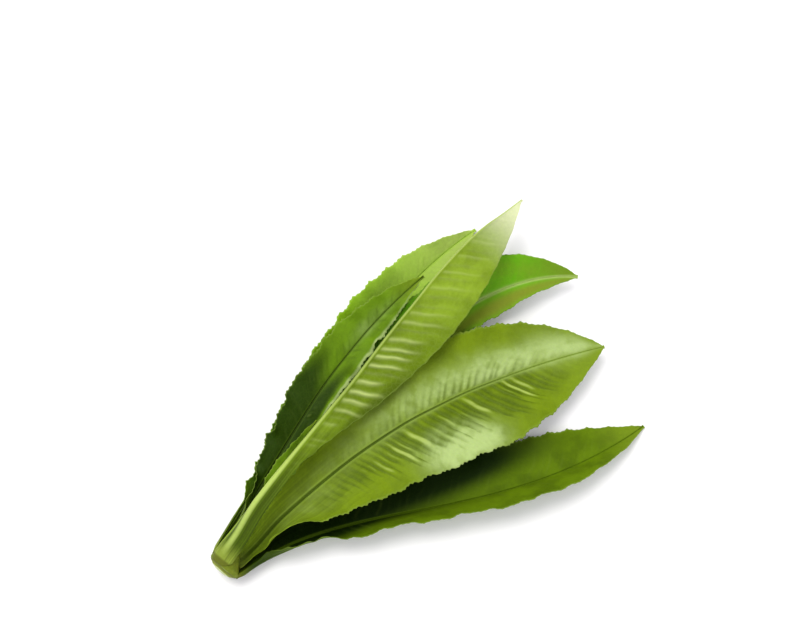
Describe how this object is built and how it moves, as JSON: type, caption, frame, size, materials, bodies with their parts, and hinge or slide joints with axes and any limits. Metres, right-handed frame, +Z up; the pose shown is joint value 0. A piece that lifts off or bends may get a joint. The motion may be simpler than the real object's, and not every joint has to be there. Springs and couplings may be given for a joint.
{
  "type": "a-choy",
  "caption": "Cut head of long pointed leaf lettuce lying on its side, its toothed leaves fanned out from a short cut stem.",
  "frame": {"origin": "on the table, under the middle of the head's box", "axes": "+Z up from the table, +X along the head's longest side towards the right-hand leaf tips, +Y towards the top leaf's tip; the cut stem is at the low end of X and Y"},
  "size_m": [0.268, 0.2372, 0.044],
  "materials": {
    "stem": "moist cut stem, pale yellow-green",
    "leaf_deep": "satin leaf, deep green",
    "leaf_green": "satin leaf, bright green",
    "leaf_pale": "satin leaf underside, pale yellow-green"
  },
  "bodies": {
    "root": {"stem": "stem", "leaf_lower_right": "leaf_deep", "leaf_lower_left": "leaf_green", "leaf_bottom": "leaf_deep", "leaf_back": "leaf_green", "leaf_broad": "leaf_green", "leaf_inner_left": "leaf_deep", "leaf_heart": "leaf_pale", "leaf_top": "leaf_pale"}
  },
  "joints": []
}
